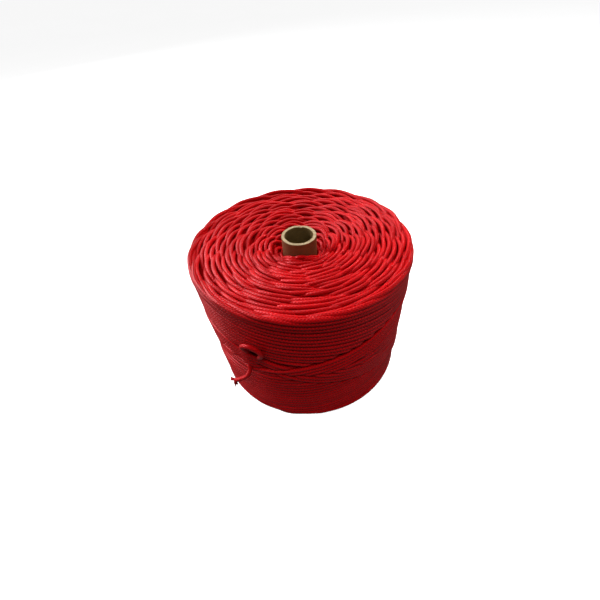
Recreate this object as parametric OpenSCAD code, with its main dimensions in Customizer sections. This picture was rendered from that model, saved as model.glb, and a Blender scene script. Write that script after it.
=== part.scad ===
// A reel of braided cord, wound without flanges on a plain paper tube.
// Millimetres, +Z along the tube. The origin is on the tube's axis, in the
// plane that the reel stands on.

/* [Cord] */
// Diameter of the braided cord as wound, which is also the pitch of the winding
cord_d = 4.4; // [3:0.1:6]
// Number of turns that one layer stacks along the tube
turn_count = 33; // [30:1:40]

/* [Paper tube] */
// Diameter of the hole through the tube
tube_bore_d = 25.4; // [19:0.1:40]
// Thickness of the liner paper and of the outer wrap
skin_ply_t = 0.3; // [0.2:0.05:0.5]
// Thickness of one board ply
board_ply_t = 0.54; // [0.4:0.02:0.8]
// Height of the tube's end above the top edge of the winding
tube_stand = 4.3; // [0:0.1:6]

/* [Winding shape] */
// How far the top face sinks from its outer edge to the tube
top_dish = 7.5; // [2:0.5:12]
// How far the bottom face rises from its outer edge to the tube
foot_dish = 3; // [1:0.5:8]
// How much smaller the outer radius is at the bottom than at the top
foot_squeeze = 2.2; // [0:0.1:4]
// How far the closing turns stand out of the outer layer
closing_proud = 0.4; // [0:0.1:1]

/* [Hidden] */

$fn = 128;
board_ply_count = 5;
// One node for each layer of cord between the tube and the outside
layer_count = 19;

tube_bore_r = tube_bore_d / 2;
board_r = tube_bore_r + skin_ply_t;
wrap_r = board_r + board_ply_count * board_ply_t;
tube_r = wrap_r + skin_ply_t;
winding_h = turn_count * cord_d;
tube_l = winding_h + tube_stand;
winding_t = layer_count * cord_d;
winding_r = tube_r + winding_t;

// One cord's rounded edge: where it is across the cord, from 0 to 1, with
// a flat crest in the middle fifth
edge_steps = [0, 0.1, 0.24, 0.4, 0.6, 0.76, 0.9, 1];
// How much of the cord's half-round shows between it and the next cord
edge_round = 0.9;

liner_colour = [0.42, 0.36, 0.22];
board_colour = [0.66, 0.55, 0.40];
wrap_colour = [0.45, 0.33, 0.20];
cord_colour = [0.72, 0.04, 0.06];
cord_colour_deep = [0.62, 0.03, 0.05];

// Outlines of the closing turns on the side face, each a list of
// [angle about the tube, height], from the left side (-180) round the front
// (-90) to the right side (0), and on round the back (90) to 180.
closing_top_front = [[-180, 101], [-142, 100.5], [-120, 94], [-98, 82], [-80, 90.5],
                     [-60, 99.5], [-40, 108.5], [-30, 112.5], [0, 117]];
closing_foot_front = [[-180, 64], [-145, 64], [-120, 73], [-100, 67], [-80, 57.5],
                      [-60, 48], [-40, 40], [0, 38]];
closing_top_back = [[0, 117], [40, 116], [75, 104], [120, 100], [180, 101]];
closing_foot_back = [[0, 38], [40, 46], [75, 66], [120, 66], [180, 64]];
// The gaps beside them that the cord's end comes out of
loop_gap = [[-127, 96.5], [-124.5, 105.5], [-118, 105.5], [-115.5, 101.5], [-110, 101.5],
            [-98, 84]];
tail_gap = [[-128, 70], [-124, 66], [-114, 66.5], [-110, 70.5]];

// Route of the cord's end, as [angle about the tube, distance from its axis,
// height]: up out of the closing turns in a small bight, down under them, and
// out below them to the cut end.
tail_route = [
    [-114.4, 98.3, 93.2], [-113.2, 99.4, 96], [-111.8, 100.8, 99.4], [-111.1, 101.8, 103.2],
    [-111.6, 102.3, 107.3], [-113.3, 102.6, 110.7], [-115.8, 102.9, 112.2],
    [-118.5, 103, 111.2], [-120.5, 102.5, 108], [-121.4, 101, 103.6], [-121.2, 99.1, 98.8],
    [-120.9, 97.5, 94.6], [-121.1, 96.7, 90.6], [-121.4, 96.6, 86.4], [-121.5, 96.7, 82.2],
    [-121.5, 97.4, 78.4], [-121.2, 98.9, 75.3], [-120.7, 100.8, 72.3], [-120.8, 103, 69.5],
    [-121.7, 105, 66.6], [-123.2, 106.7, 64], [-124.9, 108.4, 61.6], [-126.7, 110, 59.6],
    [-128, 110.8, 58.5]
];
tail_sides = 10;
// Room on each side of the cord's end where it passes the closing turns
tail_room = 0.7;
tail_channel_a = -121.2;

// ---- profiles of the winding ----

// Distance from the axis of the face between layer i and the next, at height z
function layer_r(i, z) =
    tube_r + i * cord_d * (1 - foot_squeeze / winding_t * (1 - z / winding_h));

// Height of the top face and of the bottom face over the middle of layer i
function inward(i) = pow(1 - (i - 0.5) / layer_count, 2);
function top_z(i) = winding_h - top_dish * inward(i);
function foot_z(i) = foot_dish * (inward(i) - inward(layer_count));

// How far a cord's rounded edge lies below its crest at s across the cord
function edge_drop(s) = cord_d / 2 * (1 - sqrt(1 - pow(edge_round * flat_crest(s), 2)));
function flat_crest(s) = s >= 0.4 && s <= 0.6 ? 0 : 2 * s - 1;

// Closed outline of layer i: up its inner face, across its rounded top, down
// its outer face and back across its rounded foot
function layer_outline(i) = concat(
    [for (s = edge_steps) across(i, s, top_z(i) - edge_drop(s))],
    [for (s = edge_steps) across(i, 1 - s, foot_z(i) + edge_drop(s))]
);
function across(i, s, z) = [layer_r(i - 1 + s, z), z];

// The outer layer's outline, with each of its turns rounded on the outside
function outer_outline(i) = concat(
    [for (s = edge_steps) if (s <= 0.6) across(i, s, top_z(i) - edge_drop(s))],
    [for (turn = [turn_count - 1:-1:0]) for (s = edge_steps)
        if (!(turn == turn_count - 1 && s < 0.24) && !(turn == 0 && s > 0.76))
            turn_point(i, (turn + 1 - s) * cord_d, edge_drop(s))],
    [for (s = edge_steps) if (s >= 0.4) across(i, 1 - s, foot_z(i) + edge_drop(s))]
);
function turn_point(i, z, drop) = [layer_r(i, z) - drop, z];

// ---- zones on the side face, as prisms along Y ----

side_reach = winding_r + 10;
function on_side(p) = [winding_r * cos(p[0]), p[1]];
// Carries an outline's ends straight on, past the winding
function carried(points) = concat(
    [[sign(on_side(points[0])[0]) * side_reach, points[0][1]]],
    [for (p = points) on_side(p)],
    [[sign(on_side(points[len(points) - 1])[0]) * side_reach, points[len(points) - 1][1]]]
);
function reversed(list) = [for (i = [len(list) - 1:-1:0]) list[i]];

module front_prism(outline) {
    rotate([90, 0, 0])
        linear_extrude(side_reach)
            polygon(outline);
}

module closing_zone() {
    front_prism(concat(carried(closing_top_front), reversed(carried(closing_foot_front))));
    mirror([0, 1, 0])
        front_prism(concat(carried(closing_top_back), reversed(carried(closing_foot_back))));
}

// A gap's outline runs down into the closing turns, which fill that part of it
module gap_zone(points, z_inside) {
    ends = [points[0], points[len(points) - 1]];
    front_prism(concat([for (p = points) on_side(p)],
                       [[on_side(ends[1])[0], z_inside], [on_side(ends[0])[0], z_inside]]));
}

module tail_channel() {
    channel_w = cord_d + 2 * tail_room;
    rotate([0, 0, tail_channel_a])
        translate([tube_r, -channel_w / 2, 0])
            cube([side_reach - tube_r, channel_w, winding_h]);
}

// ---- the paper tube ----

module tube_ply(inner_r, ply_t) {
    difference() {
        cylinder(h = tube_l, r = inner_r + ply_t);
        translate([0, 0, -1])
            cylinder(h = tube_l + 2, r = inner_r);
    }
}

module tube_liner_ply() {
    color(liner_colour)
        tube_ply(tube_bore_r, skin_ply_t);
}

module tube_board_ply(i) {
    color(board_colour)
        tube_ply(board_r + (i - 1) * board_ply_t, board_ply_t);
}

module tube_wrap_ply() {
    color(wrap_colour)
        tube_ply(wrap_r, skin_ply_t);
}

// ---- the cord ----

module inner_layer(i) {
    color(i % 2 == 0 ? cord_colour : cord_colour_deep)
        rotate_extrude()
            polygon(layer_outline(i));
}

module outer_layer(i) {
    color(cord_colour)
        difference() {
            rotate_extrude()
                polygon(outer_outline(i));
            closing_zone();
            gap_zone(loop_gap, 80);
            gap_zone(tail_gap, 78);
        }
}

module cord_layer(i) {
    if (i < layer_count) inner_layer(i);
    if (i == layer_count) outer_layer(i);
}

// The last turns, which cross each other aslant round the middle of the reel
module closing_turns() {
    i = layer_count;
    color(cord_colour_deep)
        difference() {
            intersection() {
                rotate_extrude()
                    polygon([
                        [layer_r(i - 1, 0), 0],
                        [layer_r(i, 0) + closing_proud, 0],
                        [layer_r(i, winding_h) + closing_proud, winding_h],
                        [layer_r(i - 1, winding_h), winding_h]
                    ]);
                closing_zone();
            }
            tail_channel();
        }
}

function unit(a) = a / norm(a);
function round_tube(p) = [p[1] * cos(p[0]), p[1] * sin(p[0]), p[2]];
tail_points = [for (p = tail_route) round_tube(p)];
tail_last = len(tail_points) - 1;
function tail_direction(k) = unit(tail_points[min(k + 1, tail_last)] - tail_points[max(k - 1, 0)]);
outward = [cos(tail_channel_a), sin(tail_channel_a), 0];

function tail_ring(k) =
    let (
        along = tail_direction(k),
        side = unit(cross(along, outward)),
        up = cross(side, along)
    )
    [for (j = [0:tail_sides - 1])
        tail_points[k] + cord_d / 2 * (side * cos(j * 360 / tail_sides)
                                       + up * sin(j * 360 / tail_sides))];

module cord_tail() {
    rings = [for (k = [0:tail_last]) each tail_ring(k)];
    walls = [for (k = [0:tail_last - 1]) for (j = [0:tail_sides - 1])
        let (next = (j + 1) % tail_sides)
        [k * tail_sides + j, k * tail_sides + next,
         (k + 1) * tail_sides + next, (k + 1) * tail_sides + j]];
    start_cap = [for (j = [tail_sides - 1:-1:0]) j];
    end_cap = [for (j = [0:tail_sides - 1]) tail_last * tail_sides + j];
    color(cord_colour)
        polyhedron(rings, concat([start_cap, end_cap], walls), convexity = 6);
}

tube_liner_ply();
tube_board_ply(1);  // tube_board_ply_1
tube_board_ply(2);  // tube_board_ply_2
tube_board_ply(3);  // tube_board_ply_3
tube_board_ply(4);  // tube_board_ply_4
tube_board_ply(5);  // tube_board_ply_5
tube_wrap_ply();
cord_layer(1);  // cord_layer_01
cord_layer(2);  // cord_layer_02
cord_layer(3);  // cord_layer_03
cord_layer(4);  // cord_layer_04
cord_layer(5);  // cord_layer_05
cord_layer(6);  // cord_layer_06
cord_layer(7);  // cord_layer_07
cord_layer(8);  // cord_layer_08
cord_layer(9);  // cord_layer_09
cord_layer(10);  // cord_layer_10
cord_layer(11);  // cord_layer_11
cord_layer(12);  // cord_layer_12
cord_layer(13);  // cord_layer_13
cord_layer(14);  // cord_layer_14
cord_layer(15);  // cord_layer_15
cord_layer(16);  // cord_layer_16
cord_layer(17);  // cord_layer_17
cord_layer(18);  // cord_layer_18
cord_layer(19);  // cord_layer_19
closing_turns();
cord_tail();
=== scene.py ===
"""Cross-wound reel of red braided cord on a paper tube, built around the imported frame.

Lengths below are in millimetres and angles in degrees, measured at the tube axis with the
front at -90; everything is turned into metres when a mesh is made.
"""
import math

import bpy
import numpy as np
from mathutils import Matrix, Vector


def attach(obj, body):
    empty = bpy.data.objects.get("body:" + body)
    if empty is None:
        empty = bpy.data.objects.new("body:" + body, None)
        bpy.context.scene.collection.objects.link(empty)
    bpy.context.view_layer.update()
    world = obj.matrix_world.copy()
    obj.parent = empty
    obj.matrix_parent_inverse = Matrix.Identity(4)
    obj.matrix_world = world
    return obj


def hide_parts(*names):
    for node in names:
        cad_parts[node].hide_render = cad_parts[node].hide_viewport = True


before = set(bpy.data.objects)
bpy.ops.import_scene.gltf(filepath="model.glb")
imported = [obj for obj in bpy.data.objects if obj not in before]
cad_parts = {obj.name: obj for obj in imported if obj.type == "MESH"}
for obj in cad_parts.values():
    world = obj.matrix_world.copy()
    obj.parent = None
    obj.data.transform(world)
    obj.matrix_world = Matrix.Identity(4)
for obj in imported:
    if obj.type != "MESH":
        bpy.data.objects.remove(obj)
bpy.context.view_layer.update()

MM = 0.001
BODY = "root"

# ---------------------------------------------------------------- the reel, from the CAD
CORD_D = 4.4
WINDING_H = 145.2
WALL_R = 99.6               # winding radius at the top rim
FOOT_SQUEEZE = 2.2          # the foot rim is this much smaller
FOOT_SHIFT = 2.54           # the winding leans: its foot lies this far towards +x
TUBE_R, BORE_R, TUBE_L = 16.0, 12.7, 149.5
SKIN_T, BOARD_PLY_T, BOARD_PLIES = 0.3, 0.54, 5
TOP_DISH, FOOT_DISH = 7.5, 3.0
CLOSING_PROUD = 0.4         # the closing turns stand this far out of the wall

# the free end, (angle, radius, height), the same points as in the CAD
TAIL_ROUTE = [
    (-114.4, 98.3, 93.2), (-113.2, 99.4, 96), (-111.8, 100.8, 99.4), (-111.1, 101.8, 103.2),
    (-111.6, 102.3, 107.3), (-113.3, 102.6, 110.7), (-115.8, 102.9, 112.2),
    (-118.5, 103, 111.2), (-120.5, 102.5, 108), (-121.4, 101, 103.6), (-121.2, 99.1, 98.8),
    (-120.9, 97.5, 94.6), (-121.1, 96.7, 90.6), (-121.4, 96.6, 86.4), (-121.5, 96.7, 82.2),
    (-121.5, 97.4, 78.4), (-121.2, 98.9, 75.3), (-120.7, 100.8, 72.3), (-120.8, 103, 69.5),
    (-121.7, 105, 66.6), (-123.2, 106.7, 64), (-124.9, 108.4, 61.6), (-126.7, 110, 59.6),
    (-128, 110.8, 58.5),
]
TAIL_ANGLE = -121.3

# ---------------------------------------------------------------- how the cord is laid
UPPER_STARTS, UPPER_SLOPE = 17, 0.208       # turns above the closing turns fall to the right
LOWER_STARTS, LOWER_SLOPE = 18, 0.220       # turns below them rise to the right
ARCH_ROUND = 4.0                            # how softly a strand reverses at a rim
REVERSAL = 26.0                             # how far it runs on before it is covered
SETTLE_D = 3.9                              # closest two crossing strands press together
SETTLE_DEPTH = 5.0                          # deepest that a crossed strand is pressed in
SETTLE_ROUNDS = 8
WALL_SPREAD = 330.0                         # degrees a wall turn may run before it must be covered
BURIED = 7.0                                # how far a wall turn runs on under the closing turns
BACK_ANGLE, BACK_REACH = 25.0, 85.0         # where wall turns run on further, out of sight
CROSSING_ANGLE = 100.0                      # where the closing turns step over to the next place

# centre lines of the first rising and the first falling closing turn, (angle, height)
RISING_TURN = [
    (-180, 66), (-160, 65.5), (-145, 66.2), (-130, 70.5), (-120, 72), (-112, 72.7), (-105, 75.5),
    (-100, 78.2), (-90, 83.4), (-80, 88), (-70, 92.4), (-60, 96.8), (-50, 102), (-40, 107.4),
    (-30, 110.5), (-23, 111.5), (0, 112), (20, 110), (40, 104.5), (60, 96), (80, 86), (100, 77),
    (120, 71), (150, 67),
]
FALLING_TURN = [
    (-180, 98), (-160, 98.5), (-140, 98), (-130, 96), (-120, 91.6), (-110, 85.7), (-100, 81),
    (-90, 76.6), (-80, 72.5), (-70, 68), (-60, 63.5), (-50, 59.5), (-40, 55), (-30, 49.5),
    (-20, 44.5), (0, 38), (20, 37), (40, 44), (60, 60), (80, 80), (100, 93), (120, 97.5),
    (150, 98.5),
]
BAND_TURNS = 4
FAN_TURNS = 13
FAN_ORDER = (7, 3, 11, 5, 9, 1, 13, 2, 4, 6, 8, 10, 12)     # from the top strand down
FAN_FROM, FAN_TO = -112.0, 68.0             # degrees between which the fan shows

# ---------------------------------------------------------------- the two faces
OUTER_RINGS, INNER_RINGS = range(1, 8), range(8, 19)
RING_FILL = 0.6                             # how fast reversals grow fewer towards the tube
FEWEST_ARCHES = 8
HOLLOW_FROM, HOLLOW_TO = 19.0, 29.0         # radii between which the hollow at the tube ends
HOLLOW_FRONT = -97.0                        # the winding climbs the tube here instead
FOOT_STITCH = 1.6                           # coarser rings for the hidden foot face
UNDER_SIDE, UNDER_TOP = 3.6, 5.2            # how far the layers beneath lie under the faces
UNDER_HOLLOW, UNDER_RIDGE = 4.6, 0.9
WALL_RIDGES, FACE_RIDGES, RIDGE_SAMPLES = 30, 18, 6

# ---------------------------------------------------------------- detail of the strands

GRID_STEP = 0.25                            # degrees between the samples of a path
STITCH = 1.3                                # millimetres between rings of a swept strand
RELIEF = 0.15                               # height of a braid stitch
HALF_PIPE = np.radians([0, 20, 40, 60, 80, 102, 140, -140, -102, -80, -60, -40, -20])
HALF_PIPE_STITCH = np.array([1, 0, -1, 0, 1, 0, 0, 0, 0, 1, 0, -1, 0], float)
STITCH_ANGLE = 40.0                         # degrees round the cord from stitch to hollow
ROUND_SIDES = 16
END_ROUND = 1.6                             # millimetres over which a strand's end closes
TAIL_WIDTH = 4.1
TUFTS = ((0.45, 4.8, 0.7, 16), (-1.5, 4.8, 2.2, 110))       # tilt, length, spread, yarns
YARN_STEPS = 12


# ================================================================ camera
def set_camera():
    """The photograph's point of view: close, from above, rolled a few degrees (in metres)."""
    place = Vector((0.0, -0.24437, 0.31143))
    aim = Vector((-0.00397, 0.0, 0.06696))
    roll = math.radians(4.99)
    forward = (aim - place).normalized()
    right = forward.cross(Vector((0, 0, 1))).normalized()
    up = right.cross(forward)
    right_rolled = math.cos(roll) * right - math.sin(roll) * up
    up_rolled = math.sin(roll) * right + math.cos(roll) * up
    camera_data = bpy.data.cameras.new("camera")
    camera_data.lens = 19.236
    camera_data.sensor_width = 36.0
    camera_data.clip_start = 0.01
    camera_data.clip_end = 60.0
    camera = bpy.data.objects.new("camera", camera_data)
    turn = Matrix((right_rolled, up_rolled, -forward)).transposed()
    camera.matrix_world = Matrix.Translation(place) @ turn.to_4x4()
    bpy.context.scene.collection.objects.link(camera)
    bpy.context.scene.camera = camera


# ================================================================ numbers along paths
def smoothstep(x):
    x = np.clip(x, 0.0, 1.0)
    return x * x * (3.0 - 2.0 * x)


def ramp(x, start, end):
    """0 before start, 1 after end."""
    return smoothstep((np.asarray(x, float) - start) / (end - start))


def soft_max(a, b, width):
    """The larger of two rows, with a rounded change from one to the other."""
    return 0.5 * (a + b + np.sqrt((a - b) ** 2 + width ** 2)) - 0.5 * width * (a == b)


def bell(x, centre, width):
    return np.exp(-((np.asarray(x, float) - centre) / width) ** 2)


def wrapped(angle):
    """The same angle between -180 and 180."""
    return (np.asarray(angle, float) + 180.0) % 360.0 - 180.0


def around(angle, centre):
    """How far an angle is from a centre, the short way round."""
    return wrapped(np.asarray(angle, float) - centre)


def on_circle(angle, grid, row):
    """A row of samples round the reel, read at any angle."""
    return np.interp(wrapped(angle), grid, row, period=360.0)


def closed_curve(points, spread=4.0):
    """A smooth periodic function of angle through control points."""
    grid = np.arange(-180.0, 180.0, 1.0)
    angles = np.array([p[0] for p in points], float)
    values = np.array([p[1] for p in points], float)
    raw = np.interp(grid, angles, values, period=360.0)
    offsets = np.arange(-12, 13)
    weights = np.exp(-0.5 * (offsets / spread) ** 2)
    weights /= weights.sum()
    smooth = sum(w * np.roll(raw, -o) for w, o in zip(weights, offsets))
    return lambda angle: on_circle(angle, grid, smooth)


def wander(rng, x, size, wavelengths):
    """A slow random wave: sines of the given wavelengths, with random phases."""
    total = np.zeros_like(x)
    for length in wavelengths:
        total += np.sin(2 * np.pi * (x / length + rng.random())) * rng.uniform(0.5, 1.0)
    return size * total / len(wavelengths)


rising = closed_curve(RISING_TURN)
falling = closed_curve(FALLING_TURN)


# ================================================================ the winding's faces
def wall_bumps(angle, z):
    """Slow unevenness of the wound wall, with the dents seen at its left and right edges."""
    left, right = bell(around(angle, -165), 0, 32), bell(around(angle, -12), 0, 30)
    soft = (0.35 * np.sin(np.radians(3 * angle + 40) + z / 31)
            + 0.25 * np.sin(np.radians(5 * angle - 70) - z / 19))
    dents = left * (0.5 * bell(z, 84, 10) - 1.1 * bell(z, 60, 5) - 0.5 * bell(z, 70, 14))
    swell = left * (1.0 * ramp(z, 88, 98) * ramp(-z, -144, -138)
                    + 1.2 * ramp(z, 2, 7) * ramp(-z, -52, -42))
    swell += right * (1.2 * bell(z, 112, 9) + 0.6 * bell(z, 75, 22) + 1.1 * bell(z, 39, 6)
                      - 0.6 * bell(z, 21, 8) + 0.7 * ramp(z, 110, 118) * ramp(-z, -144, -140)
                      + 0.7 * ramp(z, 2, 7) * ramp(-z, -38, -32))
    rims = 0.7 * ramp(z, 132, 143) + 0.8 * ramp(-z, -9, -2)
    return soft + dents + swell + rims


def wall_radius(angle, z):
    return WALL_R - FOOT_SQUEEZE * (1 - z / WINDING_H) + wall_bumps(angle, z)


def lean(z):
    return FOOT_SHIFT * (1 - np.asarray(z, float) / WINDING_H)


def at(angle, radius, z, leaning=True):
    """Points from angle, radius and height."""
    turn = np.radians(angle)
    x = radius * np.cos(turn) + (lean(z) if leaning else 0.0)
    return np.stack([x, radius * np.sin(turn), z + 0 * radius], -1)


def outwards(angle):
    turn = np.radians(angle)
    return np.stack([np.cos(turn), np.sin(turn), 0 * turn], -1)


def inward_share(radius):
    return np.clip((radius - TUBE_R) / (WALL_R - TUBE_R), 0, 1.05)


def top_height(radius):
    return WINDING_H - TOP_DISH * (1 - inward_share(radius)) ** 2


def foot_height(radius):
    return FOOT_DISH * (1 - inward_share(radius)) ** 1.5


# ================================================================ sweeping strands
def strand(points, out, tone, width=CORD_D):
    return {"points": points, "out": out, "tone": tone, "width": width, "valley": no_valley}


# Rules of painted shade: how much darker a strand's colour is on each side, by the angle from its
# crest.
def no_valley(turn):
    return 0.0 * turn


def wall_valley(turn):
    """Painted shade on a wall strand, where its neighbours would shade it: its lower side, and its
    very top.
    """
    return np.maximum(ramp(turn, -26, 26), ramp(-turn, 72, 90) * (1 - ramp(-turn, 90, 112)))


def face_valley(turn):
    """The same painted shade for a strand on a flat face: more on the side away from the tube."""
    return 0.5 * ramp(turn, 34, 72) + 0.35 * ramp(-turn, 46, 84)


def resampled(points, out, step):
    """Evenly spaced rings along a dense path, an even number of steps."""
    gaps = np.linalg.norm(np.diff(points, axis=0), axis=1)
    run = np.concatenate([[0.0], np.cumsum(gaps)])
    count = max(4, int(round(run[-1] / step)))
    places = np.linspace(0, run[-1], count + 1)
    take = lambda rows: np.stack([np.interp(places, run, rows[:, i]) for i in range(3)], -1)
    return take(points), take(out), places


def ring_axes(points, out):
    """For each ring, the outward and the sideways direction across the strand."""
    along = np.gradient(points, axis=0)
    along /= np.linalg.norm(along, axis=1)[:, None]
    out = out - (out * along).sum(1)[:, None] * along
    out /= np.linalg.norm(out, axis=1)[:, None]
    return out, np.cross(along, out)


def tube_faces(rings, sides):
    """Quads along a tube of rings, and the triangles that close its two ends."""
    ring, spot = np.meshgrid(np.arange(rings - 1), np.arange(sides), indexing="ij")
    after = (spot + 1) % sides
    quads = np.stack([ring * sides + spot, (ring + 1) * sides + spot,
                      (ring + 1) * sides + after, ring * sides + after], -1).reshape(-1, 4)
    first, last = rings * sides, rings * sides + 1
    near, nxt = np.arange(sides), (np.arange(sides) + 1) % sides
    far = (rings - 1) * sides
    caps = np.concatenate([np.stack([near * 0 + first, near, nxt], -1),
                           np.stack([near * 0 + last, far + nxt, far + near], -1)])
    return quads, caps


def swept(item, step, turns, stitches, relief):
    """Vertices, quads, triangles and attributes of one closed, braided tube."""
    points, out, run = resampled(item["points"], item["out"], step)
    normal, side = ring_axes(points, out)
    rings, sides = len(points), len(turns)
    flip = np.where(np.arange(rings) % 2 == 0, 1.0, -1.0)
    pattern = flip[:, None] * stitches[None, :]
    end_run = np.minimum(run, run[-1] - run)
    taper = np.sqrt(np.clip(1 - (1 - np.clip(end_run / END_ROUND, 0, 1)) ** 2, 0.02, 1))
    radius = (item["width"] / 2 - relief * 0.6 + relief * pattern) * taper[:, None]
    across = normal[:, None, :] * np.cos(turns)[None, :, None]
    across = across + side[:, None, :] * np.sin(turns)[None, :, None]
    tube = (points[:, None, :] + radius[:, :, None] * across).reshape(-1, 3)
    verts = np.concatenate([tube, points[:1], points[-1:]])
    quads, caps = tube_faces(rings, sides)
    from_crest = wrapped(np.degrees(turns))
    # Painted shade of each vertex, by its angle from the crest; on the wall the strand's tilt is taken
    # off, so that its lower side is the darker one.
    tilt = np.degrees(np.arcsin(normal[:, 2])) * (item["valley"] is wall_valley)
    fields = {"lay": np.repeat(np.arange(rings, dtype=float), sides),
              "wrap": np.tile(np.abs(from_crest) / item.get("stitch_angle", STITCH_ANGLE), rings),
              "painted_shade": item["valley"](from_crest[None, :] - tilt[:, None]).ravel()}
    fields = {name: np.concatenate([row, [0.0, 0.0]]) for name, row in fields.items()}
    return verts, quads, caps, fields


def join(parts, tones):
    """Several swept tubes as one set of arrays."""
    bases = np.cumsum([0] + [len(part[0]) for part in parts])
    verts = np.concatenate([part[0] for part in parts])
    quads = np.concatenate([part[1] + base for part, base in zip(parts, bases)])
    tris = np.concatenate([part[2] + base for part, base in zip(parts, bases)])
    fields = {name: np.concatenate([part[3][name] for part in parts]) for name in parts[0][3]}
    fields["tone"] = np.repeat(tones, [len(part[0]) for part in parts])
    return verts, quads, tris, fields


def mesh_piece(name, verts, quads, tris, fields, material, body=BODY):
    """A smooth mesh object from arrays in millimetres."""
    mesh = bpy.data.meshes.new(name)
    mesh.vertices.add(len(verts))
    mesh.vertices.foreach_set("co", (verts * MM).astype(np.float32).ravel())
    corners = np.concatenate([quads.ravel(), tris.ravel()]).astype(np.int32)
    starts = np.concatenate([np.arange(len(quads)) * 4,
                             len(quads) * 4 + np.arange(len(tris)) * 3]).astype(np.int32)
    mesh.loops.add(len(corners))
    mesh.loops.foreach_set("vertex_index", corners)
    mesh.polygons.add(len(starts))
    mesh.polygons.foreach_set("loop_start", starts)
    mesh.polygons.foreach_set("use_smooth", np.ones(len(starts), bool))
    for field, values in fields.items():
        layer = mesh.attributes.new(field, "FLOAT", "POINT")
        layer.data.foreach_set("value", values.astype(np.float32))
    mesh.update(calc_edges=True)
    mesh.validate()
    mesh.materials.append(material)
    piece = bpy.data.objects.new(name, mesh)
    bpy.context.scene.collection.objects.link(piece)
    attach(piece, body)
    return piece


def wound_piece(name, strands, material, step=STITCH, relief=RELIEF, valley=wall_valley):
    """One object from many strands that are seen from outside only."""
    for item in strands:
        item["valley"] = valley
    parts = [swept(s, step, HALF_PIPE, HALF_PIPE_STITCH, relief) for s in strands]
    verts, quads, tris, fields = join(parts, [s["tone"] for s in strands])
    return mesh_piece(name, verts, quads, tris, fields, material)


# ================================================================ closing turns
def rising_at(angle, number):
    """Height of a rising closing turn; left of the waists it hides under the falling ones."""
    beside = rising(angle) - CORD_D * number
    under = falling_at(angle, BAND_TURNS - 1) + 0.8 * number
    left = np.minimum(under, rising(angle) + CORD_D * number)
    return soft_max(beside, left, 0.8)


def falling_at(angle, number):
    return falling(angle) - CORD_D * number


def fan_at(angle, number):
    """Height of a strand in the wedge between the rising and the falling turns."""
    share = number / (FAN_TURNS + 1)
    high, low = rising_at(angle, BAND_TURNS - 1), falling_at(angle, 0)
    return high + share * (low - high)


def lies_over(first, second):
    """Whether one closing strand was laid over another."""
    kinds = (first[0], second[0])
    if kinds == ("fan", "fan"):
        return FAN_ORDER.index(first[1]) < FAN_ORDER.index(second[1])
    if "fan" in kinds:
        return kinds[1] == "fan"
    if kinds[0] == kinds[1]:
        return first[1] < second[1]
    rising_wins = first[1] + second[1] < BAND_TURNS
    return rising_wins if kinds[0] == "up" else not rising_wins


def settle(grid, heights):
    """How deep each strand lies when they are laid over each other."""
    depths = {key: np.full_like(grid, -CLOSING_PROUD) for key in heights}
    press = {}
    for a in heights:
        for b in heights:
            if a != b and lies_over(a, b):
                gap = heights[a] - heights[b]
                push = np.sqrt(np.clip(SETTLE_D ** 2 - gap ** 2, 0, None))
                if push.max() > 0:
                    press[(a, b)] = push
    for _ in range(SETTLE_ROUNDS):
        for (a, b), push in press.items():
            lower = np.where(push > 0, depths[a] + push, -CLOSING_PROUD)
            depths[b] = np.minimum(np.maximum(depths[b], lower), SETTLE_DEPTH)
    return {key: blurred(depth, 15) for key, depth in depths.items()}


def blurred(values, width):
    """A running mean over a periodic row of samples."""
    kernel = np.hanning(2 * width + 1)
    kernel /= kernel.sum()
    long = np.concatenate([values[-width:], values, values[:width]])
    return np.convolve(long, kernel, mode="valid")


def band_layout():
    """Heights and depths of every closing turn on one grid of angles."""
    grid = np.arange(-180.0, 180.0, GRID_STEP)
    heights = {("up", n): rising_at(grid, n) for n in range(BAND_TURNS)}
    heights.update({("down", n): falling_at(grid, n) for n in range(BAND_TURNS)})
    heights.update({("fan", n): fan_at(grid, n) for n in range(1, FAN_TURNS + 1)})
    return grid, heights, settle(grid, heights)


def over_the_tail(angle, z):
    """The closing turns rise a little where the free end runs under them."""
    return 1.5 * bell(angle, TAIL_ANGLE, 4.0) * ramp(z, 60, 68)


def closing_path(rng, angle, z, depth):
    z = z + wander(rng, angle, 0.22, (31, 53, 90))
    depth = depth + wander(rng, angle, 0.12, (23, 40)) - over_the_tail(wrapped(angle), z)
    radius = wall_radius(wrapped(angle), z) - CORD_D / 2 - depth
    return at(angle, radius, z), outwards(angle)


def band_strands(rng):
    """The rising and the falling closing turns, each one continuous strand of four turns."""
    grid, heights, depths = band_layout()
    first, last = CROSSING_ANGLE, CROSSING_ANGLE + 360.0 * BAND_TURNS - 30.0
    strands = []
    for kind, height in (("up", rising_at), ("down", falling_at)):
        angle = np.arange(first, last, GRID_STEP)
        turn = np.minimum((angle - first) // 360.0, BAND_TURNS - 1)
        step_over = ramp((angle - first) % 360.0, 320, 360)
        number = np.minimum(turn + step_over, BAND_TURNS - 1)
        z = height(angle, number)
        low = np.array([on_circle(angle, grid, depths[(kind, n)]) for n in range(BAND_TURNS)])
        base = np.floor(number).astype(int)
        part = number - base
        column = np.arange(len(angle))
        upper = np.minimum(base + 1, BAND_TURNS - 1)
        depth = (1 - part) * low[base, column] + part * low[upper, column]
        ends = ramp(angle, angle[0], angle[0] + 8) * (1 - ramp(angle, angle[-1] - 8, angle[-1]))
        depth = depth + 4.5 * (1 - ends)
        points, out = closing_path(rng, angle, z, depth)
        strands.append(strand(points, out, rng.random()))
    return strands, (grid, heights, depths)


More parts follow.
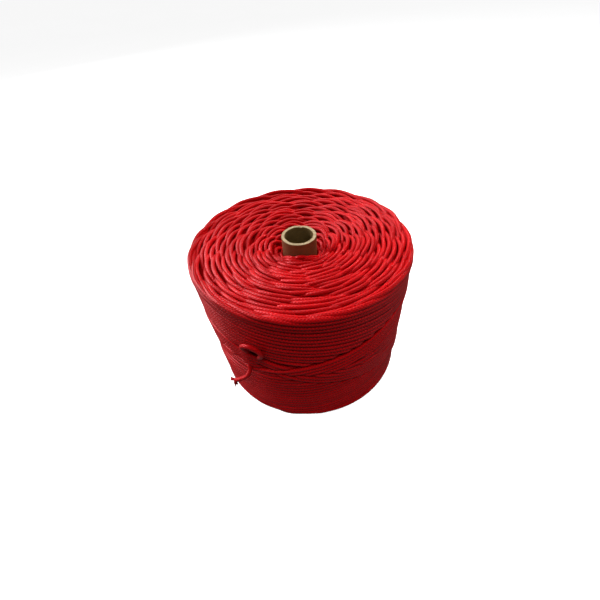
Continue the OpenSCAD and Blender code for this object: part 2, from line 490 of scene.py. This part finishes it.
def fan_strands(rng, layout):
    """Strands that come out between the crossing turns and fan over the right-hand side."""
    grid, heights, depths = layout
    strands = []
    for number in range(1, FAN_TURNS + 1):
        angle = np.arange(FAN_FROM, FAN_TO, GRID_STEP)
        z = np.interp(angle, grid, heights[("fan", number)])
        depth = np.interp(angle, grid, depths[("fan", number)])
        shown = ramp(angle, FAN_FROM, FAN_FROM + 12) * (1 - ramp(angle, FAN_TO - 10, FAN_TO))
        depth = depth + 4.0 * (1 - shown)
        points, out = closing_path(rng, angle, z, depth)
        strands.append(strand(points, out, rng.random()))
    return strands


def band_edges():
    """Upper and lower edge of all the closing turns together, as functions of angle."""
    grid = np.arange(-180.0, 180.0, 1.0)
    rows = [rising_at(grid, n) for n in range(BAND_TURNS)]
    rows += [falling_at(grid, n) for n in range(BAND_TURNS)]
    top, foot = np.max(rows, axis=0) + CORD_D / 2, np.min(rows, axis=0) - CORD_D / 2
    return (lambda angle: on_circle(angle, grid, top)), (lambda angle: on_circle(angle, grid, foot))


# ================================================================ turns on the wall
def wall_strand(rng, start, spread, height, edge_gap, face):
    """A turn from its reversal at a rim until it has dived under the closing turns."""
    offset = np.arange(-REVERSAL, spread, GRID_STEP)
    angle = start + offset
    z = height(offset) + wander(rng, angle, 0.24, (37, 61, 110))
    z = z - face * 4.6 * ramp(-offset, 0.5 * REVERSAL, REVERSAL)
    gap = edge_gap(angle, z)
    keep = (gap > -BURIED) | (np.abs(around(angle, BACK_ANGLE)) < BACK_REACH)
    if not keep.all():
        last = int(np.argmin(keep))
        angle, offset, z, gap = angle[:last], offset[:last], z[:last], gap[:last]
    depth = 5.0 * smoothstep((2.0 - offset) / REVERSAL) + 3.3 * ramp(-gap, -0.6, 3.6)
    depth = depth + wander(rng, angle, 0.16, (29, 47, 83)) + 0.15
    if face < 0:
        depth = depth + 1.3 * (1 - ramp(gap, 0, 9)) * bell(around(angle, -140), 0, 28)
    radius = wall_radius(wrapped(angle), z) - CORD_D / 2 - depth
    out = outwards(angle) + np.outer(1 - ramp(offset, 12, 40), (0, 0, 1.2 * face))
    return strand(at(angle, radius, z), out, rng.random())


def arch(offset, slope):
    """Height lost on both sides of a reversal, less on its hidden side."""
    lost = np.sqrt(offset ** 2 + ARCH_ROUND ** 2) - ARCH_ROUND
    return slope * np.where(offset < 0, 0.25, 1.0) * lost


def upper_turns(rng, top_edge):
    rim = WINDING_H - CORD_D / 2 + 1.2
    early = lambda angle: (2.4 * bell(wrapped(angle), -106, 12)
                           + 1.5 * bell(wrapped(angle), -72, 30)
                           + 0.9 * bell(wrapped(angle), -140, 16))
    edge_gap = lambda angle, z: z - top_edge(angle) - CORD_D / 2 - early(angle)
    strands = []
    for k in range(UPPER_STARTS):
        start = -180.0 + (k + 0.35 + 0.12 * rng.uniform(-1, 1)) * 360.0 / UPPER_STARTS
        lift = rng.uniform(-0.35, 0.35)
        height = lambda offset: rim + lift * (1 - ramp(offset, 0, 40)) - arch(offset, UPPER_SLOPE)
        strands.append(wall_strand(rng, start, WALL_SPREAD, height, edge_gap, 1))
    return strands


def lower_turns(rng, foot_edge):
    edge_gap = lambda angle, z: foot_edge(angle) - CORD_D / 2 - z
    strands = []
    for k in range(LOWER_STARTS):
        start = -180.0 + (k + 0.6 + 0.10 * rng.uniform(-1, 1)) * 360.0 / LOWER_STARTS
        lift = rng.uniform(-0.2, 0.2)
        height = lambda offset: (CORD_D / 2 + lift * (1 - ramp(offset, 0, 40))
                                 + arch(offset, LOWER_SLOPE))
        strands.append(wall_strand(rng, start, WALL_SPREAD, height, edge_gap, -1))
    return strands


# ================================================================ reversals on the two faces
def near_tube(radius):
    """1 beside the tube, 0 beyond the hollow round it."""
    return 1 - ramp(radius, HOLLOW_FROM, HOLLOW_TO)


def beside_tube(angle, radius):
    """The winding climbs the tube at the front and leaves a hollow beside and behind it."""
    front = bell(around(angle, HOLLOW_FRONT), 0, 56)
    return (11.0 * front - 7.6) * near_tube(radius)


def face_arch(rng, centre, half, radius, height, up):
    """One reversal of the cord: its crest shows, and both its ends dive between neighbours."""
    t = np.linspace(-1, 1, 60)
    angle = centre + half * t
    bulge = -3.2 * np.abs(t) ** 1.6 + rng.uniform(0.6, 4.0) * t + rng.uniform(-0.6, 0.6)
    dip = np.where(t < 0, 5.8, 4.4) * np.abs(t) ** 1.8
    lift = rng.uniform(-1.0, 0.5)
    ring = np.maximum(radius + bulge, TUBE_R + 0.55 * CORD_D)
    z = height(ring) + up * (lift + beside_tube(angle, ring) - dip - CORD_D / 2)
    out = np.tile([0.0, 0.0, float(up)], (len(t), 1)) + 0.25 * outwards(angle)
    return strand(at(angle, ring, z), out, rng.random(), width=4.0)


def hidden_turn(up, height):
    """A whole turn just inside a rim, so that no daylight shows between the reversals."""
    angle = np.arange(-180.0, 182.0, 0.5)
    radius = np.full(len(angle), WALL_R - 3.2)
    z = height(radius) - up * 4.1
    return strand(at(angle, radius, z), np.tile([0.0, 0.0, float(up)], (len(angle), 1)), 0.5)


def face_arches(rng, up, height, starts, rings):
    """The rings of reversals between the tube and the rim of one face."""
    strands = []
    for i in rings:
        radius = WALL_R - CORD_D / 2 - CORD_D * i
        phase = 0.5 * i + rng.uniform(-0.25, 0.25)
        count = max(FEWEST_ARCHES, round(starts * (radius / WALL_R) ** RING_FILL))
        for k in range(count):
            centre = -180.0 + (k + phase + rng.uniform(-0.22, 0.22)) * 360.0 / count
            half = 360.0 / count * rng.uniform(0.72, 1.0)
            strands.append(face_arch(rng, centre, half, radius, height, up))
    return strands


# ================================================================ what lies underneath
def turned(profile, steps, shape):
    """A closed solid of revolution from a profile of (radius, height), changed by shape."""
    profile = np.asarray(profile, float)
    turns = np.linspace(-180, 180, steps, endpoint=False)
    angle, row = np.meshgrid(turns, np.arange(len(profile)), indexing="ij")
    radius, z = shape(angle, profile[row, 0], profile[row, 1])
    size = len(profile)
    a, b = np.meshgrid(np.arange(steps), np.arange(size), indexing="ij")
    a2, b2 = (a + 1) % steps, (b + 1) % size
    quads = np.stack([a * size + b, a2 * size + b, a2 * size + b2, a * size + b2], -1)
    return angle, radius, z, quads.reshape(-1, 4)


def ridges(count):
    """Places from 0 to 1 along a face with one ridge for each cord, and each place's depth."""
    share = np.linspace(0, 1, count * RIDGE_SAMPLES + 1)[:-1]
    return share, UNDER_RIDGE * (1 - np.abs(np.sin(np.pi * count * share)))


def inner_profile():
    """The outline of the layers beneath: up the wall, in along the top, out along the foot."""
    wall = WALL_R - CORD_D - 0.2
    share, groove = ridges(WALL_RIDGES)
    side = np.stack([wall - groove, np.interp(share, [0, 1], (UNDER_SIDE, WINDING_H - UNDER_SIDE))], 1)
    share, groove = ridges(FACE_RIDGES)
    radius = wall + share * (TUBE_R + 0.1 - wall)
    hollow = UNDER_HOLLOW * near_tube(radius)
    top = np.stack([radius, top_height(radius) - UNDER_TOP - hollow - groove], 1)
    foot = np.stack([radius, foot_height(radius) + UNDER_SIDE + hollow + groove], 1)
    return np.concatenate([side, top, foot[::-1]])


def inner_winding(material):
    """The layers under the visible cord, so that gaps show cord and not a hole."""
    profile = inner_profile()
    slim = lambda angle, r, z: (r - FOOT_SQUEEZE * (1 - z / WINDING_H) * ramp(r, 20, 90), z)
    angle, radius, z, quads = turned(profile, 240, slim)
    tight = ramp(radius, 16, 24)
    verts = at(angle, radius, z, leaning=False)
    verts[..., 0] += lean(z) * tight
    verts = verts.reshape(-1, 3)
    fields = {"lay": np.radians(angle).ravel() * 60, "wrap": z.ravel()}
    return mesh_piece("inner_winding", verts, quads, np.zeros((0, 3), int), fields, material)


# ================================================================ the paper tube
def rim_wear(angle, z, radius):
    """Small unevenness of the cut rims, and one torn nick at the top."""
    turn = np.radians(angle)
    rough = (0.10 * np.sin(7 * turn + 1) + 0.07 * np.sin(17 * turn + radius)
             + 0.05 * np.sin(41 * turn + 3 * radius))
    nick = -0.6 * bell(around(angle, 79), 0, 3.2) - 0.3 * bell(around(angle, 91), 0, 2.0)
    end = ramp(z, TUBE_L - 1.5, TUBE_L) - ramp(-z, -1.5, 0.0)
    worn = np.where(end > 0, (rough - 0.2) + nick, rough - 0.2)
    return z + end * worn


def spiral_seam(angle, z, lead):
    """Distance from a helical seam, 0 to 1 over one lead."""
    return ((z - angle / 360.0 * lead) / lead) % 1.0


def tube_profile(inner, outer, recess):
    """The outline of one wall of the tube: outside, top rim, inside and foot rim."""
    bevel = min(0.12, (outer - inner) / 3)
    low, high = recess, TUBE_L - recess
    heights = np.concatenate([[low, low + bevel], np.linspace(2, TUBE_L - 2, 120),
                              [high - bevel, high]])
    outside = np.stack([np.full(len(heights), outer), heights], 1)
    outside[0, 0] = outside[-1, 0] = outer - bevel
    count = max(3, int((outer - inner) / 0.09))
    across = np.linspace(outer - bevel, inner + bevel, count)[1:-1]
    top = np.stack([across, np.full(len(across), high)], 1)
    inside = np.stack([np.full(len(heights), inner), heights[::-1]], 1)
    inside[0, 0] = inside[-1, 0] = inner + bevel
    foot = np.stack([across[::-1], np.full(len(across), low)], 1)
    return np.concatenate([outside, top, inside, foot])


def tube_part(name, inner, outer, material, recess, lead=0.0, step=0.0):
    """One wall of the tube between two radii, with rounded rims and a spiral seam."""
    def shape(angle, radius, z):
        if name == "tube_board":
            ply = (radius - inner) / BOARD_PLY_T
            groove = 0.14 * bell(ply - np.round(ply), 0, 0.12)
            rim = ramp(z, TUBE_L - 0.5, TUBE_L) - ramp(-z, -0.5, 0.0)
            z = z - groove * rim
        if lead:
            seam = spiral_seam(angle, z, lead)
            lap = step * (1 - ramp(seam, 0.0, 0.03))
            edge = np.where(radius > (inner + outer) / 2, 1.0, -1.0)
            side = (np.abs(radius - outer) < 1e-6) | (np.abs(radius - inner) < 1e-6)
            radius = radius + np.where(side, edge * (lap - step), 0.0)
        return radius, rim_wear(angle, z, radius)

    angle, radius, z, quads = turned(tube_profile(inner, outer, recess), 200, shape)
    verts = at(angle, radius, z, leaning=False).reshape(-1, 3)
    fields = {"seam": spiral_seam(angle, z, lead or 60.0).ravel()}
    return mesh_piece(name, verts, quads, np.zeros((0, 3), int), fields, material)


# ================================================================ the free end
def curve_through(points, count):
    """A dense smooth curve through points (Catmull-Rom)."""
    p = np.concatenate([[2 * points[0] - points[1]], points, [2 * points[-1] - points[-2]]])
    rows = []
    for i in range(1, len(p) - 2):
        t = np.linspace(0, 1, count, endpoint=False)[:, None]
        a, b, c, d = p[i - 1], p[i], p[i + 1], p[i + 2]
        rows.append(0.5 * (2 * b + (c - a) * t + (2 * a - 5 * b + 4 * c - d) * t ** 2
                           + (3 * b - a - 3 * c + d) * t ** 3))
    return np.concatenate(rows + [points[-1:]])


def carried_along(path, first):
    """A direction across a curve, moved along it without twisting."""
    along = np.gradient(path, axis=0)
    along /= np.linalg.norm(along, axis=1)[:, None]
    rows, direction = [], first
    for tangent in along:
        direction = direction - np.dot(direction, tangent) * tangent
        direction = direction / np.linalg.norm(direction)
        rows.append(direction)
    return np.array(rows)


def tail_points():
    angle, radius, z = np.array(TAIL_ROUTE, float).T
    return at(angle, radius, z, leaning=False)


def free_end(material):
    """The cut end: a bight over the closing turns, then a short hanging tail."""
    path = curve_through(tail_points(), 12)
    out = carried_along(path, path[0] * np.array([1, 1, 0.0]))
    turns = np.linspace(0, 2 * np.pi, ROUND_SIDES, endpoint=False)
    stitches = np.where(np.arange(ROUND_SIDES) % 2 == 0, 1.0, -1.0)
    whole = strand(path, out, 0.6, width=TAIL_WIDTH)
    whole.update(stitch_angle=360.0 / ROUND_SIDES, valley=no_valley)
    part = swept(whole, STITCH, turns, stitches, RELIEF)
    verts, quads, tris, fields = join([part], [0.6])
    tail = mesh_piece("free_end", verts, quads, tris, fields, material)
    fray = frayed_tip(path, material)
    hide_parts("cord_tail")


def frayed_tip(path, material):
    """Two tufts of loose yarn where the cord was cut."""
    rng = np.random.default_rng(71)
    tip, along = path[-1], path[-1] - path[-6]
    along /= np.linalg.norm(along)
    up = np.array([0.0, 0.0, 1.0])
    side = np.cross(along, up)
    side /= np.linalg.norm(side)
    lift = np.cross(side, along)
    turns = np.linspace(0, 2 * np.pi, 6, endpoint=False)
    parts, tones = [], []
    for tilt, length, reach, count in TUFTS:
        for _ in range(count):
            spot = rng.normal(0, 0.5, 2) * reach
            start = tip - 1.6 * along + lift * (spot[0] + 0.6 * np.sign(tilt)) + side * spot[1]
            aim = along + lift * (tilt + rng.normal(0, 0.12)) + side * rng.normal(0, 0.16)
            aim /= np.linalg.norm(aim)
            size = length * rng.uniform(0.7, 1.1)
            t = np.linspace(0, 1, YARN_STEPS)[:, None]
            curl = lift * rng.normal(0, 0.5) + side * rng.normal(0, 0.5)
            points = start + aim * size * t + curl * t ** 2
            out = np.tile(lift, (YARN_STEPS, 1))
            item = strand(points, out, 0.6, width=rng.uniform(0.6, 1.1))
            parts.append(swept(item, 0.5, turns, np.zeros(6), 0.0))
            tones.append(rng.uniform(0.4, 1.0))
    verts, quads, tris, fields = join(parts, tones)
    return mesh_piece("free_end_fray", verts, quads, tris, fields, material)


# ================================================================ materials
class Nodes:
    """Short calls for building a node tree."""

    def __init__(self, name, slot_colour):
        self.material = bpy.data.materials.new(name)
        self.material.use_nodes = True
        self.material.diffuse_color = slot_colour
        self.tree = self.material.node_tree
        self.tree.nodes.clear()
        self.out = self.add("ShaderNodeOutputMaterial")
        self.shader = self.add("ShaderNodeBsdfPrincipled")
        self.link(self.shader.outputs["BSDF"], self.out.inputs["Surface"])

    def add(self, kind, **settings):
        node = self.tree.nodes.new(kind)
        for key, value in settings.items():
            setattr(node, key, value)
        return node

    def link(self, a, b):
        self.tree.links.new(a, b)

    def field(self, name):
        return self.add("ShaderNodeAttribute", attribute_name=name).outputs["Fac"]

    def math(self, operation, *values):
        node = self.add("ShaderNodeMath", operation=operation)
        for i, value in enumerate(values):
            if isinstance(value, (int, float)):
                node.inputs[i].default_value = value
            else:
                self.link(value, node.inputs[i])
        return node.outputs[0]

    def mix(self, factor, a, b, blend="MIX"):
        node = self.add("ShaderNodeMix", data_type="RGBA", blend_type=blend)
        for key, value in ((0, factor), (6, a), (7, b)):
            if isinstance(value, tuple):
                node.inputs[key].default_value = value
            elif isinstance(value, (int, float)):
                node.inputs[key].default_value = value
            else:
                self.link(value, node.inputs[key])
        return node.outputs[2]

    def noise(self, vector, scale, detail=3.0, rough=0.5):
        node = self.add("ShaderNodeTexNoise")
        node.inputs["Scale"].default_value = scale
        node.inputs["Detail"].default_value = detail
        node.inputs["Roughness"].default_value = rough
        self.link(vector, node.inputs["Vector"])
        return node.outputs["Fac"]

    def ramp(self, value, stops):
        node = self.add("ShaderNodeValToRGB")
        while len(node.color_ramp.elements) < len(stops):
            node.color_ramp.elements.new(0.5)
        for element, (place, colour) in zip(node.color_ramp.elements, stops):
            element.position = place
            element.color = (*colour, 1.0)
        self.link(value, node.inputs["Fac"])
        return node.outputs["Color"]

    def object_space(self):
        return self.add("ShaderNodeTexCoord").outputs["Object"]

    def combine(self, x, y, z):
        node = self.add("ShaderNodeCombineXYZ")
        for i, value in enumerate((x, y, z)):
            if isinstance(value, (int, float)):
                node.inputs[i].default_value = value
            else:
                self.link(value, node.inputs[i])
        return node.outputs[0]

    def bump(self, height, strength, distance):
        node = self.add("ShaderNodeBump")
        node.inputs["Strength"].default_value = strength
        node.inputs["Distance"].default_value = distance
        self.link(height, node.inputs["Height"])
        self.link(node.outputs["Normal"], self.shader.inputs["Normal"])

    def surface(self, **values):
        for key, value in values.items():
            self.shader.inputs[key.replace("_", " ")].default_value = value


def cord_material():
    """Braided synthetic cord: stitches and fine fibres, with a painted highlight on stitch crests and
    painted shade in stitch hollows and on shaded strand flanks.
    """
    n = Nodes("braided_cord", (0.5, 0.02, 0.02, 1))
    tone, lay, wrap = n.field("tone"), n.field("lay"), n.field("wrap")
    wave_along = n.math("COSINE", n.math("MULTIPLY", lay, math.pi))
    wave_round = n.math("COSINE", n.math("MULTIPLY", wrap, math.pi))
    stitch = n.math("MULTIPLY", wave_along, wave_round)
    fibre_place = n.combine(n.math("MULTIPLY", n.math("ADD", lay, wrap), 0.45),
                            n.math("MULTIPLY", n.math("SUBTRACT", lay, wrap), 2.6),
                            n.math("MULTIPLY", tone, 40.0))
    fibres = n.noise(fibre_place, 1.0, 3.0, 0.6)
    patches = n.noise(n.object_space(), 42.0, 3.0)
    # The stitch wave in this level paints light and shade on the braid: lighter on each stitch's
    # crest, darker in its hollows.
    level = n.math("ADD", n.math("MULTIPLY", stitch, 0.15),
                   n.math("ADD", 0.25, n.math("MULTIPLY", fibres, 0.55)))
    colour = n.ramp(level, ((0.12, (0.16, 0.0005, 0.0008)), (0.55, (0.48, 0.0020, 0.0030)),
                            (1.0, (0.80, 0.008, 0.010))))
    shade = n.math("ADD", 0.82, n.math("MULTIPLY", tone, 0.26))
    shade = n.math("MULTIPLY", shade, n.math("ADD", 0.82, n.math("MULTIPLY", patches, 0.36)))
    # Painted shade: the colour is darkened on strand flanks that neighbours would shade, and the
    # specular is taken away there too.
    painted_shade = n.field("painted_shade")
    painted_shade_factor = n.math("SUBTRACT", 1.0, n.math("MULTIPLY", painted_shade, 0.52))
    shine = n.math("SUBTRACT", 1.0, painted_shade)
    n.link(shine, n.shader.inputs["Specular IOR Level"])
    shade = n.math("MULTIPLY", shade, painted_shade_factor)
    grey = n.combine(shade, shade, shade)
    colour = n.mix(1.0, colour, grey, "MULTIPLY")
    n.link(colour, n.shader.inputs["Base Color"])
    rough = n.math("ADD", 0.31, n.math("MULTIPLY", fibres, 0.2))
    n.link(rough, n.shader.inputs["Roughness"])
    n.surface(IOR=1.5, Specular_Tint=(1.0, 0.10, 0.13, 1.0))
    height = n.math("ADD", n.math("MULTIPLY", stitch, 0.5), n.math("MULTIPLY", fibres, 0.35))
    n.bump(height, 0.6, 0.0004)
    return n.material


def painted_shade_under_material():
    """The same cord deep in the winding, coloured darker than the cord itself as painted shade, where
    little light comes.
    """
    n = Nodes("cord_underneath_painted_shade", (0.2, 0.01, 0.01, 1))
    lay, wrap = n.field("lay"), n.field("wrap")
    streaks = n.noise(n.combine(n.math("MULTIPLY", lay, 1.1), wrap, 0.0), 1.0, 4.0, 0.6)
    colour = n.ramp(streaks, ((0.25, (0.10, 0.0003, 0.0006)), (0.75, (0.30, 0.001, 0.0015))))
    n.link(colour, n.shader.inputs["Base Color"])
    n.surface(Roughness=0.9, Specular_IOR_Level=0.0)
    n.bump(streaks, 0.5, 0.0006)
    return n.material


def paper_material(name, dark, light, seam_colour, rough):
    """Spiral-wound paper: long fibres, fine flecks and a darker seam."""
    n = Nodes(name, (*light, 1))
    place = n.object_space()
    stretched = n.add("ShaderNodeMapping")
    stretched.inputs["Scale"].default_value = (1.0, 1.0, 3.2)
    n.link(place, stretched.inputs["Vector"])
    fibres = n.noise(stretched.outputs["Vector"], 260.0, 5.0, 0.65)
    blotches = n.noise(place, 55.0, 3.0)
    level = n.math("ADD", n.math("MULTIPLY", fibres, 0.6), n.math("MULTIPLY", blotches, 0.4))
    colour = n.ramp(level, ((0.3, dark), (0.7, light)))
    seam = n.ramp(n.field("seam"), ((0.0, (1, 1, 1)), (0.02, (0, 0, 0)), (0.985, (0, 0, 0)),
                                    (1.0, (1, 1, 1))))
    colour = n.mix(seam, colour, (*seam_colour, 1))
    n.link(colour, n.shader.inputs["Base Color"])
    n.surface(Roughness=rough, Specular_IOR_Level=0.25)
    n.bump(fibres, 0.4, 0.0003)
    return n.material


def floor_material():
    n = Nodes("pale_floor", (0.9, 0.9, 0.9, 1))
    grain = n.noise(n.object_space(), 3.0, 2.0)
    colour = n.ramp(grain, ((0.3, (0.88, 0.88, 0.88)), (0.7, (0.92, 0.92, 0.92))))
    n.link(colour, n.shader.inputs["Base Color"])
    n.surface(Roughness=0.9, Specular_IOR_Level=0.0, Emission_Color=(1, 1, 1, 1),
              Emission_Strength=0.80)
    return n.material


# ================================================================ studio
def studio_floor():
    """A pale floor that curves up far behind, without a horizon line."""
    radii = [0.0, 0.3, 0.8, 2.0, 5.0, 7.0, 8.6, 9.6, 10.0, 10.1]
    heights = [0.0, 0.0, 0.0, 0.0, 0.0, 0.3, 1.2, 2.8, 5.0, 9.0]
    steps = 96
    turns = np.linspace(0, 2 * np.pi, steps, endpoint=False)
    verts = [(r * math.cos(t), r * math.sin(t), z) for r, z in zip(radii, heights) for t in turns]
    faces = []
    for i in range(len(radii) - 1):
        for j in range(steps):
            k = (j + 1) % steps
            faces.append((i * steps + j, i * steps + k, (i + 1) * steps + k, (i + 1) * steps + j))
    mesh = bpy.data.meshes.new("floor")
    mesh.from_pydata(verts, [], faces)
    mesh.polygons.foreach_set("use_smooth", np.ones(len(faces), bool))
    mesh.materials.append(floor_material())
    floor = bpy.data.objects.new("floor", mesh)
    bpy.context.scene.collection.objects.link(floor)
    floor.visible_diffuse = False
    floor.visible_glossy = False


def area_light(name, place, aim, size, watts, colour=(1, 1, 1), shine=True):
    data = bpy.data.lights.new(name, "AREA")
    data.shape = "DISK"
    data.size = size
    data.energy = watts
    data.color = colour
    light = bpy.data.objects.new(name, data)
    light.location = place
    direction = Vector(aim) - Vector(place)
    light.rotation_euler = direction.to_track_quat("-Z", "Y").to_euler()
    light.visible_glossy = shine
    light.visible_camera = False
    bpy.context.scene.collection.objects.link(light)


def studio_light():
    area_light("window", (-1.40, 1.05, 1.25), (0, 0, 0.1), 0.6, 39, (0.95, 0.97, 1.0))
    area_light("back_window", (0.0, 1.45, 1.45), (0, 0, 0.1), 0.6, 8, (0.95, 0.97, 1.0))
    area_light("overhead", (0.1, 0.3, 1.7), (0, 0, 0.1), 1.2, 2.5, shine=False)
    area_light("side_glow", (0.25, 0.30, 0.33), (0.05, 0.06, 0.145), 0.12, 2.1, shine=False)
    area_light("front", (0.1, -0.72, 1.9), (0, 0, 0.08), 0.7, 15, shine=False)
    area_light("right_fill", (1.4, -0.2, 0.6), (0, 0, 0.08), 0.6, 1.8)
    area_light("left_fill", (-1.4, 0.30, 0.35), (0, 0, 0.05), 0.8, 11.0)
    world = bpy.data.worlds.new("studio")
    world.use_nodes = True
    background = world.node_tree.nodes["Background"]
    background.inputs["Color"].default_value = (1, 1, 1, 1)
    background.inputs["Strength"].default_value = 0.14
    bpy.context.scene.world = world
    bpy.context.scene.view_settings.view_transform = "Standard"


# ================================================================ assembly
def cad_layers(first, last):
    return ["cord_layer_%02d" % i for i in range(first, last + 1)]


def face_pieces(rng, name, up, height, starts, material, step):
    """The outer and the inner rings of one face, as two pieces."""
    rim = [hidden_turn(up, height)] + face_arches(rng, up, height, starts, OUTER_RINGS)
    outer = wound_piece(name + "_outer", rim, material, step=step, valley=face_valley)
    core = face_arches(rng, up, height, starts, INNER_RINGS)
    inner = wound_piece(name + "_inner", core, material, step=step, valley=face_valley)
    return outer, inner


def build_winding(cord, under):
    rng = np.random.default_rng(20)
    top_edge, foot_edge = band_edges()
    upper = wound_piece("upper_turns", upper_turns(rng, top_edge), cord)
    lower = wound_piece("lower_turns", lower_turns(rng, foot_edge), cord)
    band, layout = band_strands(rng)
    closing = wound_piece("closing_strands", band, cord)
    fan = wound_piece("closing_fan", fan_strands(rng, layout), cord)
    outer, inner = face_pieces(rng, "top_face", 1, top_height, UPPER_STARTS, cord, STITCH)
    foot_a, foot_b = face_pieces(rng, "foot_face", -1, foot_height, LOWER_STARTS, cord,
                                 FOOT_STITCH)
    core = inner_winding(under)
    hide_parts("cord_layer_19")
    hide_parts("cord_layer_19")
    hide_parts("closing_turns")
    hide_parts("closing_turns")
    for piece in (outer, foot_a):
        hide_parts(*cad_layers(12, 18))
    for piece in (inner, foot_b):
        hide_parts(*cad_layers(1, 11))
    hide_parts(*cad_layers(1, 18))


def build_tube():
    kraft = paper_material("kraft_skin", (0.11, 0.034, 0.011), (0.20, 0.072, 0.028),
                           (0.09, 0.026, 0.008), 0.6)
    board = paper_material("board_rim", (0.30, 0.22, 0.12), (0.45, 0.35, 0.215),
                           (0.34, 0.256, 0.156), 0.85)
    lining = paper_material("liner_skin", (0.09, 0.053, 0.016), (0.165, 0.103, 0.034),
                            (0.063, 0.034, 0.009), 0.7)
    board_in, board_out = BORE_R + SKIN_T, TUBE_R - SKIN_T
    wrap = tube_part("tube_wrap", board_out, TUBE_R, kraft, 0.1, lead=62.0, step=0.08)
    core = tube_part("tube_board", board_in, board_out, board, 0.0)
    liner = tube_part("tube_liner", BORE_R, board_in, lining, 0.08, lead=48.0, step=0.08)
    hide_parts("tube_wrap_ply")
    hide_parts(*["tube_board_ply_%d" % i for i in range(1, BOARD_PLIES + 1)])
    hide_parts("tube_liner_ply")


set_camera()
braided = cord_material()
free_end(braided)
build_winding(braided, painted_shade_under_material())
build_tube()
studio_floor()
studio_light()
